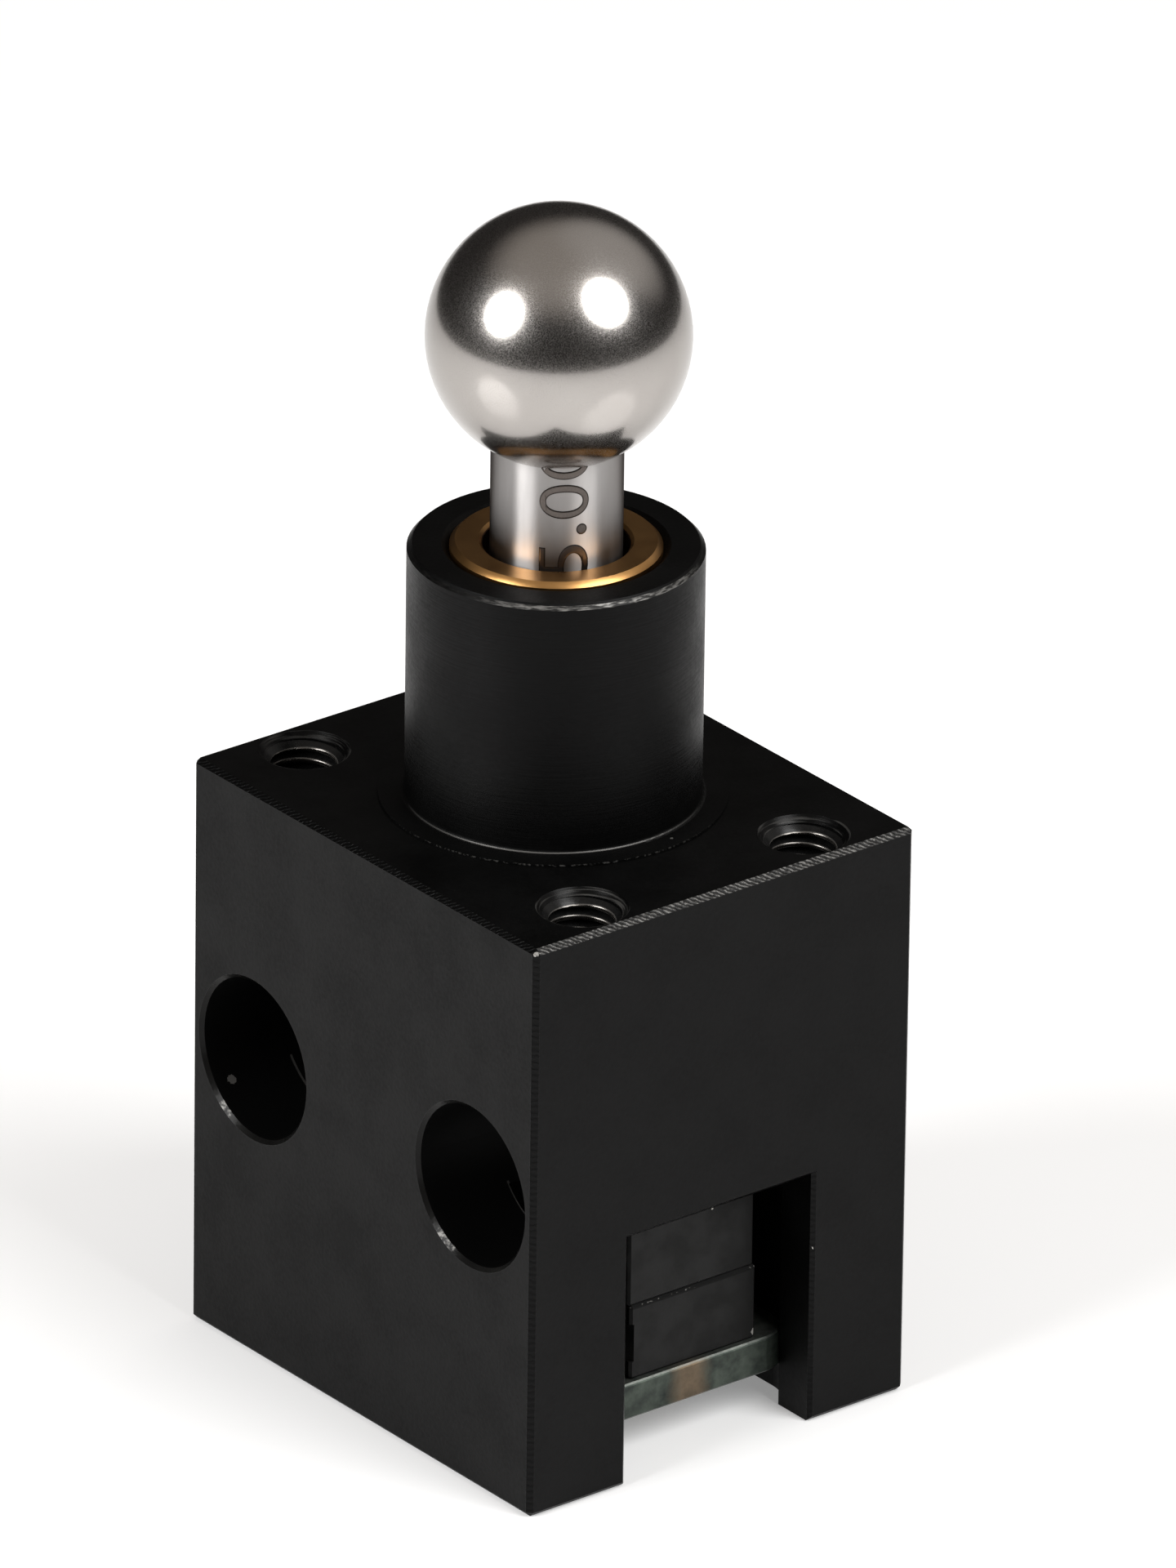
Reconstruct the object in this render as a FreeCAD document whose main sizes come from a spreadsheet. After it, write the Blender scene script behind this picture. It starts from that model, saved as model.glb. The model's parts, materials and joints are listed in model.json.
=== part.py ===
import FreeCAD, Part
import Sketcher
import os

# A nozzle calibration tool, in millimetres. A milled black block carries a turned boss with a
# bronze bush. A ground gauge pin with a ball on its head slides in the bush and stands on two
# magnets, which sit on a steel plate in a cavity under the block. X runs across the slotted
# face, Y runs along the slot, Z points up, and the pin's axis is the Z axis.

doc = FreeCAD.newDocument("nozzle_calibration_tool")
sheet = doc.addObject("Spreadsheet::Sheet", "Dimensions")

DIMENSIONS = [
    # The block
    ("block_width", 18.0, "across the slotted face, along X"),
    ("block_depth", 21.0, "along the slot, along Y"),
    ("block_height", 23.6, "base to top face"),
    ("block_edge_break", 0.2, "chamfer on the block's outer edges"),
    # The boss on top of it
    ("boss_diameter", 11.2, "turned boss"),
    ("boss_height", 10.3, "top face of the block to the rim"),
    ("boss_rim_chamfer", 0.2, "outer chamfer of the rim"),
    ("land_diameter", 13.2, "ring left proud by the finishing cutter"),
    ("land_height", 0.1, "height of that ring"),
    ("boss_foot_radius", 0.15, "corner between boss and ring"),
    # The bush and its seat
    ("bush_outer_diameter", 8.0, "pressed into the boss"),
    ("bush_length", 10.0, "overall"),
    ("bush_proud", 0.15, "how far it stands above the rim"),
    ("bush_rim_chamfer", 0.2, "top outer edge"),
    ("bush_relief_gap", 0.27, "radial gap round the pin in the relief at its mouth"),
    ("bush_relief_depth", 1.2, "depth of that relief"),
    ("bush_mouth_chamfer", 0.15, "top inner edge"),
    ("bush_lead_chamfer", 0.3, "bottom outer edge, for pressing in"),
    ("seat_mouth_chamfer", 0.3, "around the bush in the boss rim"),
    # The gauge pin and its ball
    ("pin_diameter", 5.0, "ground shank, the size that is marked on it"),
    ("pin_end_chamfer", 0.3, "both ends"),
    ("pin_running_gap", 0.02, "radial gap in the bush"),
    ("pin_passage_gap", 0.25, "radial gap in the bore below the bush"),
    ("pin_rest_gap", 0.02, "between the pin's foot and the magnet"),
    ("ball_diameter", 10.0, "polished ball"),
    ("ball_centre_above_boss", 8.5, "rim to ball centre"),
    ("ball_hole_past_centre", 1.0, "end of the blind hole above the ball's centre"),
    # The two rod bores through the sides
    ("side_bore_diameter", 6.4, "clearance for a 6 mm rod or screw"),
    ("side_bore_inset", 3.8, "end face to the axis, along Y"),
    ("side_bore_level", 12.4, "base to the axes"),
    ("side_bore_chamfer", 0.15, "both mouths"),
    # The four tapped holes in the top face
    ("tapped_hole_diameter", 3.0, "M3, at the root of the thread"),
    ("tapped_hole_depth", 6.0, "full diameter"),
    ("tapped_hole_inset_across", 3.75, "side face to the axis, along X"),
    ("tapped_hole_inset_along", 2.0, "end face to the axis, along Y"),
    ("tapped_hole_sink_diameter", 3.5, "countersink at the top face"),
    ("tapped_hole_sink_angle", 90.0, "included angle of the countersink"),
    ("drill_point_angle", 118.0, "included angle of the drilled floor"),
    # The slot through the end faces and the cavity between them
    ("slot_width", 8.8, "opening in the end faces"),
    ("slot_edge_break", 0.15, "chamfer around the slot's mouths"),
    ("cavity_width", 10.4, "along X, milled from below"),
    ("cavity_level", 10.4, "base to the ceiling of slot and cavity"),
    ("cavity_corner_radius", 1.5, "left by the cutter"),
    ("end_wall", 1.7, "thickness of the slotted end walls"),
    # The plate that closes the cavity
    ("plate_thickness", 1.5, "zinc plated steel"),
    ("plate_level", 1.6, "base to the plate's underside"),
    ("plate_gap", 0.05, "all round, in the cavity"),
    ("plate_edge_break", 0.1, "top and bottom edges"),
    # The two bar magnets on the plate
    ("magnet_width", 6.0, "along X"),
    ("magnet_setback", 0.25, "plate's end to the magnet's end, along Y"),
    ("magnet_thickness", 3.1, "each"),
    ("magnet_edge_break", 0.1, "all edges"),
    ("magnet_offset", 0.2, "how far the upper one sits off the pin's axis, along X"),
    ("magnet_slip", 0.12, "how much further the lower one sits"),
    ("magnet_chip_width", 0.22, "broken corner of the lower magnet, along X"),
    ("magnet_chip_length", 0.5, "the same, along Y"),
    ("magnet_chip_height", 1.55, "the same, along Z"),
    ("magnet_chip_level", 0.75, "lower magnet's underside to the chip"),
    # How the cuts are made
    ("cutter_overrun", 2.0, "how far a through cut runs past each face"),
]

SAME_LENGTH = 1e-4
PLATE_LENGTH = "block_depth - 2 * end_wall - 2 * plate_gap"
PLATE_WIDTH = "cavity_width - 2 * plate_gap"
MAGNET_LENGTH = PLATE_LENGTH + " - 2 * magnet_setback"
BUSH_FOOT = "block_height + boss_height + bush_proud - bush_length"
PIN_FOOT = "plate_level + plate_thickness + 2 * magnet_thickness + pin_rest_gap"
BALL_CENTRE = "block_height + boss_height + ball_centre_above_boss"

for row, (alias, value, note) in enumerate(DIMENSIONS, start=1):
    sheet.set("A%d" % row, alias)
    sheet.set("B%d" % row, str(value))
    sheet.set("C%d" % row, note)
    sheet.setAlias("B%d" % row, alias)
doc.recompute()


def size(alias):
    """The number that the sheet holds for one dimension."""
    return float(sheet.get(alias))


def cells(expression):
    """An expression in which every dimension's name points at its cell."""
    words = expression.replace("(", " ( ").replace(")", " ) ").split()
    names = {alias for alias, value, note in DIMENSIONS}
    return " ".join("Dimensions." + word if word in names else word for word in words)


def bind(feature, prop, expression):
    feature.setExpression(prop, cells(expression))


def new_body(label):
    return doc.addObject("PartDesign::Body", label)


def new_sketch(body, name, plane, level=None):
    """A sketch on one of the body's own planes, raised along its normal if a level is given."""
    sketch = body.newObject("Sketcher::SketchObject", name)
    support = [item for item in body.Origin.OriginFeatures if item.Role == plane][0]
    sketch.AttachmentSupport = [(support, "")]
    sketch.MapMode = "FlatFace"
    if level:
        bind(sketch, "AttachmentOffset.Base.z", level)
    return sketch


def constrain(sketch, kind, where, expression):
    """A dimension in a sketch that follows the sheet."""
    start = sketch.evalExpression(cells(expression))
    index = sketch.addConstraint(Sketcher.Constraint(kind, *where, float(start)))
    sketch.setExpression("Constraints[%d]" % index, cells(expression))


def draw_circle(sketch, diameter):
    """A circle about the sketch's origin."""
    circle = Part.Circle(FreeCAD.Vector(0, 0, 0), FreeCAD.Vector(0, 0, 1), 1.0)
    edge = sketch.addGeometry(circle, False)
    sketch.addConstraint(Sketcher.Constraint("Coincident", edge, 3, -1, 1))
    constrain(sketch, "Diameter", (edge,), diameter)


def draw_circle_at(sketch, diameter, across, along, side_x, side_y):
    """A circle at a place off the axes, on the sides that the two signs give."""
    middle = FreeCAD.Vector(side_x, side_y, 0)
    edge = sketch.addGeometry(Part.Circle(middle, FreeCAD.Vector(0, 0, 1), 0.5), False)
    constrain(sketch, "Diameter", (edge,), diameter)
    constrain(sketch, "DistanceX", (-1, 1, edge, 3), "( %s ) * %d" % (across, side_x))
    constrain(sketch, "DistanceY", (-1, 1, edge, 3), "( %s ) * %d" % (along, side_y))


def draw_outline(sketch, points):
    """A closed outline of straight lines. Each point is a pair of expressions, and both of its
    coordinates are dimensions measured from the sketch's origin."""
    places = []
    for across, up in points:
        x = float(sketch.evalExpression(cells(across)))
        y = float(sketch.evalExpression(cells(up)))
        places.append(FreeCAD.Vector(x, y, 0))
    count = len(points)
    for index in range(count):
        sketch.addGeometry(Part.LineSegment(places[index], places[(index + 1) % count]), False)
    for index in range(count):
        sketch.addConstraint(Sketcher.Constraint("Coincident", index, 2, (index + 1) % count, 1))
    for index, (across, up) in enumerate(points):
        pin_down(sketch, "X", index, across)
        pin_down(sketch, "Y", index, up)


def pin_down(sketch, axis, index, expression):
    """One coordinate of an outline's corner, on the axis itself where the expression is 0."""
    if expression == "0":
        origin_line = -2 if axis == "X" else -1
        sketch.addConstraint(Sketcher.Constraint("PointOnObject", index, 1, origin_line))
    else:
        constrain(sketch, "Distance" + axis, (-1, 1, index, 1), expression)


def draw_centred_box(sketch, width, depth):
    """A rectangle centred on the sketch's origin."""
    half_x = "( %s ) / 2" % width
    half_y = "( %s ) / 2" % depth
    minus_x = "0 - ( %s ) / 2" % width
    minus_y = "0 - ( %s ) / 2" % depth
    draw_outline(sketch, [(minus_x, minus_y), (half_x, minus_y), (half_x, half_y), (minus_x, half_y)])


def pad(body, sketch, name, length):
    feature = body.newObject("PartDesign::Pad", name)
    feature.Profile = sketch
    bind(feature, "Length", length)
    doc.recompute()
    return feature


def volume_of(body):
    doc.recompute()
    return body.Shape.Volume


def cut_through(body, sketch, name, length):
    """A pocket that runs the same way both sides of its sketch."""
    before = volume_of(body)
    feature = body.newObject("PartDesign::Pocket", name)
    feature.Profile = sketch
    feature.SideType = "Symmetric"
    bind(feature, "Length", length)
    require(volume_of(body) < before, name + " cuts nothing")
    return feature


def cut_upwards(body, sketch, name, length):
    """A pocket from the base plane up into the solid."""
    before = volume_of(body)
    feature = body.newObject("PartDesign::Pocket", name)
    feature.Profile = sketch
    feature.Reversed = True
    bind(feature, "Length", length)
    require(volume_of(body) < before, name + " cuts nothing")
    return feature


def revolve(body, sketch, name):
    """A full turn of a profile in the XZ plane about the Z axis."""
    feature = body.newObject("PartDesign::Revolution", name)
    feature.Profile = sketch
    feature.ReferenceAxis = (sketch, ["V_Axis"])
    feature.Angle = 360
    doc.recompute()
    return feature


def bore(body, sketch, name):
    """The same turn, taken out of the solid."""
    before = volume_of(body)
    feature = body.newObject("PartDesign::Groove", name)
    feature.Profile = sketch
    feature.ReferenceAxis = (sketch, ["V_Axis"])
    feature.Angle = 360
    require(volume_of(body) < before, name + " cuts nothing")
    return feature


def require(condition, message):
    if not condition:
        raise RuntimeError(message)


def edges_where(base, test):
    """Names of the edges of a feature that pass a test."""
    names = []
    for number, edge in enumerate(base.Shape.Edges, start=1):
        if test(edge):
            names.append("Edge%d" % number)
    require(names, "no edge found on " + base.Name)
    return names


def dress(body, kind, name, base, test, prop, expression):
    """A chamfer or a fillet on the edges that pass a test."""
    feature = body.newObject("PartDesign::" + kind, name)
    feature.Base = (base, edges_where(base, test))
    bind(feature, prop, expression)
    doc.recompute()
    return feature


def near(first, second):
    return abs(first - second) < SAME_LENGTH


def is_circle(edge, radius, axis, level):
    """True for a full or part circle of this radius whose centre is at this level on the axis."""
    curve = edge.Curve
    if not isinstance(curve, Part.Circle) or not near(curve.Radius, radius):
        return False
    return near(abs(getattr(curve.Axis, axis)), 1) and near(getattr(curve.Center, axis), level)


def lies_at(edge, axis, level):
    """True for an edge that lies all in one plane across an axis."""
    box = edge.BoundBox
    return near(getattr(box, axis + "Min"), level) and near(getattr(box, axis + "Max"), level)


def make_block():
    body = new_body("block")

    base_sketch = new_sketch(body, "block_outline", "XY_Plane")
    draw_centred_box(base_sketch, "block_width", "block_depth")
    solid = pad(body, base_sketch, "block_solid", "block_height")
    dress(body, "Chamfer", "block_edges", solid, lambda edge: True, "Size", "block_edge_break")

    land_sketch = new_sketch(body, "land_outline", "XY_Plane", "block_height")
    draw_circle(land_sketch, "land_diameter")
    pad(body, land_sketch, "land", "land_height")

    boss_sketch = new_sketch(body, "boss_outline", "XY_Plane", "block_height")
    draw_circle(boss_sketch, "boss_diameter")
    boss = pad(body, boss_sketch, "boss", "boss_height")

    rim_level = size("block_height") + size("boss_height")
    boss_radius = size("boss_diameter") / 2
    rim = dress(body, "Chamfer", "boss_rim", boss,
                lambda edge: is_circle(edge, boss_radius, "z", rim_level),
                "Size", "boss_rim_chamfer")
    land_level = size("block_height") + size("land_height")
    dress(body, "Fillet", "boss_foot", rim,
          lambda edge: is_circle(edge, boss_radius, "z", land_level),
          "Radius", "boss_foot_radius")

    # The stepped bore: mouth chamfer, seat of the bush, shoulder, passage for the pin
    rim_up = "block_height + boss_height"
    seat_radius = "bush_outer_diameter / 2"
    passage_radius = "pin_diameter / 2 + pin_passage_gap"
    bore_sketch = new_sketch(body, "stepped_bore_profile", "XZ_Plane")
    draw_outline(bore_sketch, [
        ("0", "cavity_level"),
        (passage_radius, "cavity_level"),
        (passage_radius, BUSH_FOOT),
        (seat_radius, BUSH_FOOT),
        (seat_radius, rim_up + " - seat_mouth_chamfer"),
        (seat_radius + " + seat_mouth_chamfer", rim_up),
        ("0", rim_up),
    ])
    bore(body, bore_sketch, "stepped_bore")

    # The cavity, milled from below between the two end walls
    cavity_sketch = new_sketch(body, "cavity_outline", "XY_Plane")
    draw_centred_box(cavity_sketch, "cavity_width", "block_depth - 2 * end_wall")
    cavity = cut_upwards(body, cavity_sketch, "cavity", "cavity_level")
    corner_x = size("cavity_width") / 2
    corner_y = size("block_depth") / 2 - size("end_wall")
    dress(body, "Fillet", "cavity_corners", cavity,
          lambda edge: is_upright_at(edge, corner_x, corner_y),
          "Radius", "cavity_corner_radius")

    # The slot, which opens the cavity through both end walls
    slot_sketch = new_sketch(body, "slot_outline", "XZ_Plane")
    half_slot = "slot_width / 2"
    minus_half_slot = "0 - slot_width / 2"
    draw_outline(slot_sketch, [
        (minus_half_slot, "0"),
        (half_slot, "0"),
        (half_slot, "cavity_level"),
        (minus_half_slot, "cavity_level"),
    ])
    slot = cut_through(body, slot_sketch, "slot", "block_depth + 2 * cutter_overrun")
    face_y = size("block_depth") / 2
    dress(body, "Chamfer", "slot_mouths", slot,
          lambda edge: is_slot_mouth(edge, face_y), "Size", "slot_edge_break")

    # The two rod bores, which break into the cavity's ceiling
    side_sketch = new_sketch(body, "side_bore_circles", "YZ_Plane")
    for side in (-1, 1):
        draw_circle_at(side_sketch, "side_bore_diameter",
                       "block_depth / 2 - side_bore_inset", "side_bore_level", side, 1)
    side_bores = cut_through(body, side_sketch, "side_bores", "block_width + 2 * cutter_overrun")
    face_x = size("block_width") / 2
    bore_radius = size("side_bore_diameter") / 2
    dress(body, "Chamfer", "side_bore_mouths", side_bores,
          lambda edge: is_circle(edge, bore_radius, "x", face_x)
          or is_circle(edge, bore_radius, "x", -face_x),
          "Size", "side_bore_chamfer")

    drill_tapped_holes(body)
    return body


def is_upright_at(edge, half_x, half_y):
    """True for a vertical edge on the corners of a centred rectangle."""
    box = edge.BoundBox
    straight = near(box.XMin, box.XMax) and near(box.YMin, box.YMax)
    return straight and near(abs(box.XMin), half_x) and near(abs(box.YMin), half_y)


def is_slot_mouth(edge, face_y):
    """True for the sides and the ceiling of the slot, where they meet an end face."""
    if not lies_at(edge, "Y", face_y) and not lies_at(edge, "Y", -face_y):
        return False
    box = edge.BoundBox
    half_slot = size("slot_width") / 2
    ceiling = near(box.ZMin, size("cavity_level")) and near(box.ZMax, size("cavity_level"))
    side = near(box.XMin, box.XMax) and near(abs(box.XMin), half_slot)
    return ceiling or side


def drill_tapped_holes(body):
    sketch = new_sketch(body, "tapped_hole_centres", "XY_Plane", "block_height")
    for side_x in (-1, 1):
        for side_y in (-1, 1):
            draw_circle_at(sketch, "tapped_hole_diameter",
                           "block_width / 2 - tapped_hole_inset_across",
                           "block_depth / 2 - tapped_hole_inset_along", side_x, side_y)
    before = volume_of(body)
    holes = body.newObject("PartDesign::Hole", "tapped_holes")
    holes.Profile = sketch
    doc.recompute()
    holes.DepthType = "Dimension"
    holes.DrillPoint = "Angled"
    holes.HoleCutType = "Countersink"
    bind(holes, "Diameter", "tapped_hole_diameter")
    bind(holes, "Depth", "tapped_hole_depth")
    bind(holes, "DrillPointAngle", "drill_point_angle")
    bind(holes, "HoleCutDiameter", "tapped_hole_sink_diameter")
    bind(holes, "HoleCutCountersinkAngle", "tapped_hole_sink_angle")
    require(volume_of(body) < before, "the tapped holes cut nothing")


def make_bush():
    """A turned bronze bush that stands on the shoulder of the boss's bore. The pin runs in its
    bore, which is relieved at the mouth."""
    body = new_body("guide_bush")
    sketch = new_sketch(body, "bush_profile", "XZ_Plane")
    inner = "pin_diameter / 2 + pin_running_gap"
    relieved = "pin_diameter / 2 + bush_relief_gap"
    outer = "bush_outer_diameter / 2"
    draw_outline(sketch, [
        (inner, "0"),
        (outer + " - bush_lead_chamfer", "0"),
        (outer, "bush_lead_chamfer"),
        (outer, "bush_length - bush_rim_chamfer"),
        (outer + " - bush_rim_chamfer", "bush_length"),
        (relieved + " + bush_mouth_chamfer", "bush_length"),
        (relieved, "bush_length - bush_mouth_chamfer"),
        (relieved, "bush_length - bush_relief_depth"),
        (inner, "bush_length - bush_relief_depth"),
    ])
    revolve(body, sketch, "bush_turning")
    bind(body, "Placement.Base.z", BUSH_FOOT)
    return body


def make_pin():
    """The ground gauge pin, from the upper magnet to the end of the ball's hole."""
    body = new_body("gauge_pin")
    sketch = new_sketch(body, "pin_profile", "XZ_Plane")
    length = "(" + BALL_CENTRE + " + ball_hole_past_centre) - (" + PIN_FOOT + ")"
    radius = "pin_diameter / 2"
    draw_outline(sketch, [
        ("0", "0"),
        (radius + " - pin_end_chamfer", "0"),
        (radius, "pin_end_chamfer"),
        (radius, length + " - pin_end_chamfer"),
        (radius + " - pin_end_chamfer", length),
        ("0", length),
    ])
    revolve(body, sketch, "pin_turning")
    bind(body, "Placement.Base.z", PIN_FOOT)
    return body


def make_ball():
    """A ball with a blind hole from below, in which the head of the pin is pressed."""
    ball = doc.addObject("Part::Sphere", "ball_solid")
    bind(ball, "Radius", "ball_diameter / 2")
    hole = doc.addObject("Part::Cylinder", "ball_hole")
    bind(hole, "Radius", "pin_diameter / 2")
    bind(hole, "Height", "ball_diameter / 2 + ball_hole_past_centre")
    bind(hole, "Placement.Base.z", "0 - ball_diameter / 2")
    drilled = doc.addObject("Part::Cut", "head_ball")
    drilled.Base = ball
    drilled.Tool = hole
    bind(drilled, "Placement.Base.z", BALL_CENTRE)
    return drilled


def make_plate():
    """The steel plate pressed into the mouth of the cavity, with the cutter's corners."""
    body = new_body("keeper_plate")
    sketch = new_sketch(body, "plate_outline", "XY_Plane")
    draw_centred_box(sketch, PLATE_WIDTH, PLATE_LENGTH)
    solid = pad(body, sketch, "plate_solid", "plate_thickness")
    half_x = size("cavity_width") / 2 - size("plate_gap")
    half_y = size("block_depth") / 2 - size("end_wall") - size("plate_gap")
    corners = dress(body, "Fillet", "plate_corners", solid,
                    lambda edge: is_upright_at(edge, half_x, half_y),
                    "Radius", "cavity_corner_radius - plate_gap")
    thickness = size("plate_thickness")
    dress(body, "Chamfer", "plate_edges", corners,
          lambda edge: lies_at(edge, "Z", 0) or lies_at(edge, "Z", thickness),
          "Size", "plate_edge_break")
    bind(body, "Placement.Base.z", "plate_level")
    return body


def make_magnet(label, level, off_axis):
    """A black coated bar magnet with blunted edges, lying along the slot."""
    body = new_body(label)
    sketch = new_sketch(body, label + "_outline", "XY_Plane")
    draw_centred_box(sketch, "magnet_width", MAGNET_LENGTH)
    solid = pad(body, sketch, label + "_solid", "magnet_thickness")
    dress(body, "Chamfer", label + "_edges", solid, lambda edge: True, "Size", "magnet_edge_break")
    bind(body, "Placement.Base.x", off_axis)
    bind(body, "Placement.Base.z", level)
    return body


def chip_corner(body):
    """The broken corner of a magnet, a scoop out of the upright edge beside the slot's wall."""
    left = "0 - magnet_width / 2"
    front = "0 - (" + MAGNET_LENGTH + ") / 2"
    sketch = new_sketch(body, "chip_outline", "XY_Plane", "magnet_chip_level")
    draw_outline(sketch, [
        (left + " - magnet_edge_break", front + " - magnet_edge_break"),
        (left + " + magnet_chip_width", front + " - magnet_edge_break"),
        (left + " - magnet_edge_break", front + " + magnet_chip_length"),
    ])
    before = volume_of(body)
    chip = body.newObject("PartDesign::Pocket", "chip")
    chip.Profile = sketch
    chip.Reversed = True
    bind(chip, "Length", "magnet_chip_height")
    require(volume_of(body) < before, "the chip cuts nothing")


make_block()
make_bush()
make_pin()
make_ball()
make_plate()
lower_level = "plate_level + plate_thickness"
lower = make_magnet("magnet_lower", lower_level, "magnet_offset + magnet_slip")
chip_corner(lower)
make_magnet("magnet_upper", lower_level + " + magnet_thickness", "magnet_offset")
doc.recompute()

NODES = ["block", "guide_bush", "gauge_pin", "head_ball",
         "keeper_plate", "magnet_lower", "magnet_upper"]

for item in doc.Objects:
    require("Invalid" not in item.State and "Error" not in item.State, item.Name + " failed")
os.makedirs("parts", exist_ok=True)
for label in NODES:
    piece = doc.getObjectsByLabel(label)[0]
    shape = piece.Shape
    require(not shape.isNull() and shape.isValid(), label + " has no valid solid")
    require(len(shape.Solids) == 1, label + " is not one solid")
for label in NODES:
    piece = doc.getObjectsByLabel(label)[0]
    piece.Shape.exportStep("parts/%s.step" % label)
    box = piece.Shape.BoundBox
    print("%-14s volume %9.2f  z %7.3f to %7.3f" % (label, piece.Shape.Volume, box.ZMin, box.ZMax))
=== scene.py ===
import json
import math
import bpy
from mathutils import Matrix, Vector


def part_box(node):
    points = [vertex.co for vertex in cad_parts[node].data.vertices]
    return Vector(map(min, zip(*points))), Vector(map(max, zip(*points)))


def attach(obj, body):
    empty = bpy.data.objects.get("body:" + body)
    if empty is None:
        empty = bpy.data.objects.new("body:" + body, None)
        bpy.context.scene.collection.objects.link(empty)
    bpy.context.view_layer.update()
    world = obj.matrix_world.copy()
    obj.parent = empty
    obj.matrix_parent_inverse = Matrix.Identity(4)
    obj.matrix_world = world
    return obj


# A nozzle calibration tool: a black anodised block with a bushed boss, a ground gauge pin with a
# ball on its head, and two bar magnets on a plate in the slot under it. Everything is in metres,
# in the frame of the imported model. Sizes are named in millimetres.

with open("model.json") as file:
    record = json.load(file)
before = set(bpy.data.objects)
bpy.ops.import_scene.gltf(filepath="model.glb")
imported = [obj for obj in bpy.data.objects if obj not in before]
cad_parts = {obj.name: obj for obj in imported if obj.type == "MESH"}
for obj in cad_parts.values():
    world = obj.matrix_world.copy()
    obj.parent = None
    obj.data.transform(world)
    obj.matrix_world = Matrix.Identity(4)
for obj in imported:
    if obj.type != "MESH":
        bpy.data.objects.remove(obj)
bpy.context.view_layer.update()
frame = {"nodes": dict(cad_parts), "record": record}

MM = 0.001

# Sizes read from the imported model, in millimetres
mounts = {mount["name"]: mount for mount in frame["record"]["mounts"]}
HALF_WIDTH, HALF_DEPTH, RIM_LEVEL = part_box("block")[1] / MM
TOP_LEVEL = mounts["top_holes"]["pos_m"][2] / MM
BORE_AT = mounts["rod_bore_back"]["pos_m"][1] / MM
BORE_LEVEL = mounts["rod_bore_back"]["pos_m"][2] / MM
BORE_RADIUS = mounts["rod_bore_back"]["dims"]["r_mm"]
HOLE_ACROSS = mounts["top_holes"]["dims"]["spacing_x_mm"] / 2
HOLE_ALONG = mounts["top_holes"]["dims"]["spacing_y_mm"] / 2
HOLE_RADIUS = mounts["top_holes"]["dims"]["hole_r_mm"]
PIN_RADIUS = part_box("gauge_pin")[1].x / MM
BUSH_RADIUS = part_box("guide_bush")[1].x / MM
MAGNET_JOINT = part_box("magnet_upper")[0].z / MM
PLATE_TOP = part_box("keeper_plate")[1].z / MM
BALL_CENTRE = mounts["ball_datum"]["pos_m"][2] / MM
BALL_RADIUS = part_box("head_ball")[1].x / MM

# Sizes of the solids that no box or mount gives. A break is a chamfer at 45 degrees.
EDGE_BREAK = 0.2
BOSS_RADIUS = 5.6
LAND_RADIUS = 6.6
LAND_HEIGHT = 0.1
FOOT_RADIUS = 0.15
SINK_RADIUS = 1.75
BUSH_MOUTH = 2.8
BUSH_BREAK = 0.2
BORE_BREAK = 0.15
SLOT_HALF_WIDTH = 4.4
SLOT_LEVEL = 10.4
SLOT_BREAK = 0.15
CAVITY_HALF_WIDTH = 5.2

# The threads in the top holes, which the solids leave out
THREAD_PITCH = 0.5
THREAD_DEPTH = 0.27
THREAD_FOOT = 0.44
THREAD_CREST = 0.14
THREAD_ROUNDING = 0.05
THREAD_BOTTOM = 18.0
THREAD_ROOT_SINK = 0.01
THREAD_STEPS = 40

# The skin of the size mark on the pin: how far its foot and its face stand above the shank, how
# wide its banked edges are, and how thick it is
MARK_LIP = 0.002
MARK_PROUD = 0.012
MARK_BANK = 0.06
MARK_SINK = 0.03


def colour(code):
    """The linear colour that a shader takes, from an sRGB hex value."""
    parts = [int(code[start:start + 2], 16) / 255 for start in (1, 3, 5)]
    linear = [part / 12.92 if part <= 0.04045 else ((part + 0.055) / 1.055) ** 2.4
              for part in parts]
    return (*linear, 1.0)


def add(tree, kind, values=(), **settings):
    """Adds a node with its settings. The values fill its inputs, in order or by name, and a node
    or a socket among them is linked in."""
    node = tree.nodes.new("ShaderNode" + kind)
    for name, setting in settings.items():
        setattr(node, name, setting)
    if isinstance(values, dict):
        pairs = [(node.inputs[name], value) for name, value in values.items()]
    else:
        pairs = zip([socket for socket in node.inputs if socket.enabled], values)
    for socket, value in pairs:
        if isinstance(value, bpy.types.Node):
            value = next(output for output in value.outputs if output.enabled)
        if isinstance(value, bpy.types.NodeSocket):
            tree.links.new(value, socket)
        elif value is not None:
            socket.default_value = value
    return node


def new_material(name):
    """An empty material, with its node tree and a point's place on the object in millimetres."""
    material = bpy.data.materials.new(name)
    material.use_nodes = True
    tree = material.node_tree
    tree.nodes.clear()
    metres = add(tree, "TexCoord").outputs["Object"]
    place = add(tree, "VectorMath", [metres, (1 / MM,) * 3], operation="MULTIPLY")
    return material, tree, place


def show(tree, shader):
    """Makes the shader what the material shows."""
    add(tree, "OutputMaterial", [shader])


def paint(piece, material):
    """Gives the piece this material alone."""
    piece.data.materials.clear()
    piece.data.materials.append(material)


# Materials


def either(tree, masks):
    """The largest of the masks: 1 where any of them is 1."""
    found = 0.0
    for mask in masks:
        found = add(tree, "Math", [found, mask], operation="MAXIMUM")
    return found


def both(tree, first, second):
    """The product of two masks or strengths: 1 where both are 1."""
    return add(tree, "Math", [first, second], operation="MULTIPLY")


def from_axis(tree, place, centre=(0, 0, 0), plane=(1, 1, 0)):
    """A point's distance from the axis that stands on the plane at the centre."""
    away = add(tree, "VectorMath", [place, centre], operation="SUBTRACT")
    away = add(tree, "VectorMath", [away, plane], operation="MULTIPLY")
    return add(tree, "VectorMath", [away], operation="LENGTH").outputs["Value"]


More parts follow.
